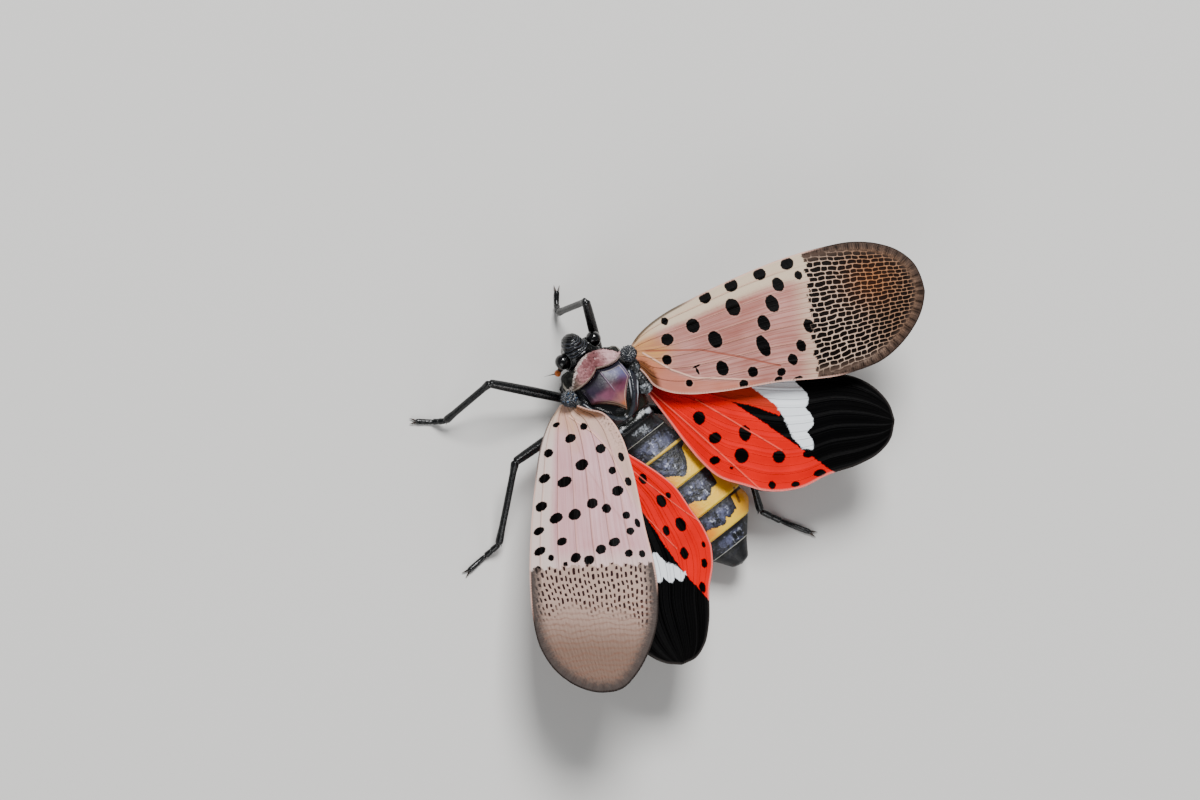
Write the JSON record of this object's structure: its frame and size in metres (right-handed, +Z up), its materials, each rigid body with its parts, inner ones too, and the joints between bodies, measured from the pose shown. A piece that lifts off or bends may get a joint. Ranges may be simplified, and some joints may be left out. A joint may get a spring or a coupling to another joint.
{
  "type": "spotted lanternfly, still life-size insect model",
  "caption": "Life-size spotted lanternfly standing on six legs, with spotted pink forewings spread over red, white and black hindwings.",
  "frame": {"origin": "on the floor under the middle of the model's box, at the level of the six soles", "axes": "+Z up from the back, -Y towards the head, +Y towards the tail, -X towards the insect's right"},
  "size_m": [0.0396, 0.028, 0.0106],
  "materials": {
    "head_black": "wrinkled black cuticle with a soft shine",
    "eye": "polished black",
    "antenna": "orange, finely pitted",
    "body_black": "black cuticle with a soft shine",
    "pronotum": "dusty pink, mottled reddish brown",
    "mesonotum": "blue-grey to maroon with pale rims",
    "tegula": "blue-black with pale specks",
    "abdomen": "black rings with yellow hind edges and a pale bloom",
    "forewing": "dusty pink with black spots and a dark netted tip",
    "hindwing": "red with black spots, a white band and a black tip",
    "leg": "black with a soft shine"
  },
  "bodies": {
    "root": {"head": "head_black", "eye_left": "eye", "eye_right": "eye", "antenna_left": "antenna", "antenna_right": "antenna", "rostrum": "body_black", "pronotum": "pronotum", "mesonotum": "mesonotum", "tegula_left": "tegula", "tegula_right": "tegula", "thorax": "body_black", "abdomen": "abdomen", "forewing_left": "forewing", "forewing_right": "forewing", "hindwing_left": "hindwing", "hindwing_right": "hindwing", "leg_front_left": "leg", "leg_front_right": "leg", "leg_middle_left": "leg", "leg_middle_right": "leg", "leg_hind_left": "leg", "leg_hind_right": "leg"}
  },
  "joints": []
}
